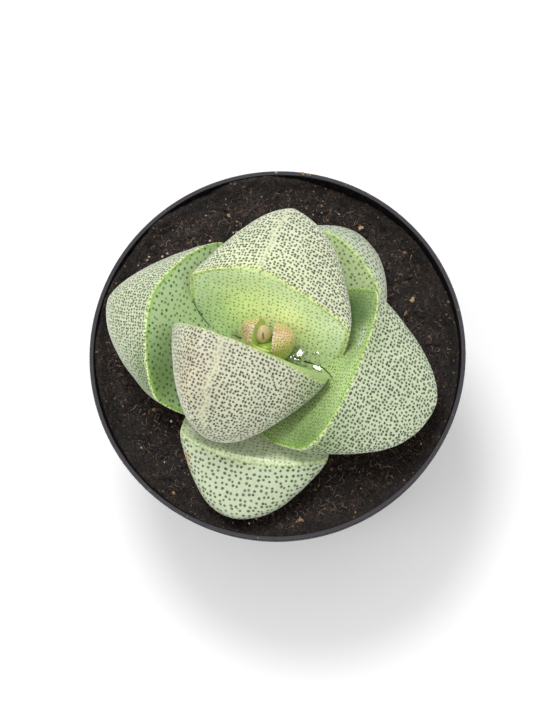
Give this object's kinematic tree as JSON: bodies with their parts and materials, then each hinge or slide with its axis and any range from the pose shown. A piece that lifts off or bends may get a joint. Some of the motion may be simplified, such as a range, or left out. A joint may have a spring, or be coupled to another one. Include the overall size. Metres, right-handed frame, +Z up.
{
  "type": "potted succulent",
  "caption": "Round nursery pot of soil holding a low succulent: crossed pairs of thick keeled leaves, with a young pair and a bud in the top fissure.",
  "frame": {"origin": "middle of the pot's foot, on the surface it stands on", "axes": "+Z up the pot's axis, +Y to the back, on the side of the inner leaf whose face shows from the front, +X to the plant's right seen from the front"},
  "size_m": [0.09, 0.09, 0.0999],
  "materials": {
    "pot_plastic": "satin",
    "potting_soil": "matte",
    "plant_stem": "matte",
    "leaf_skin": "satin",
    "young_skin": "satin",
    "bud_skin": "satin"
  },
  "bodies": {
    "root": {"pot": "pot_plastic", "soil": "potting_soil", "stem": "plant_stem", "leaf_inner_back": "leaf_skin", "leaf_inner_front": "leaf_skin", "leaf_middle_left": "leaf_skin", "leaf_middle_right": "leaf_skin", "leaf_outer_front": "leaf_skin", "leaf_outer_back": "leaf_skin", "young_leaf_left": "young_skin", "young_leaf_right": "young_skin", "bud": "bud_skin"}
  },
  "joints": []
}
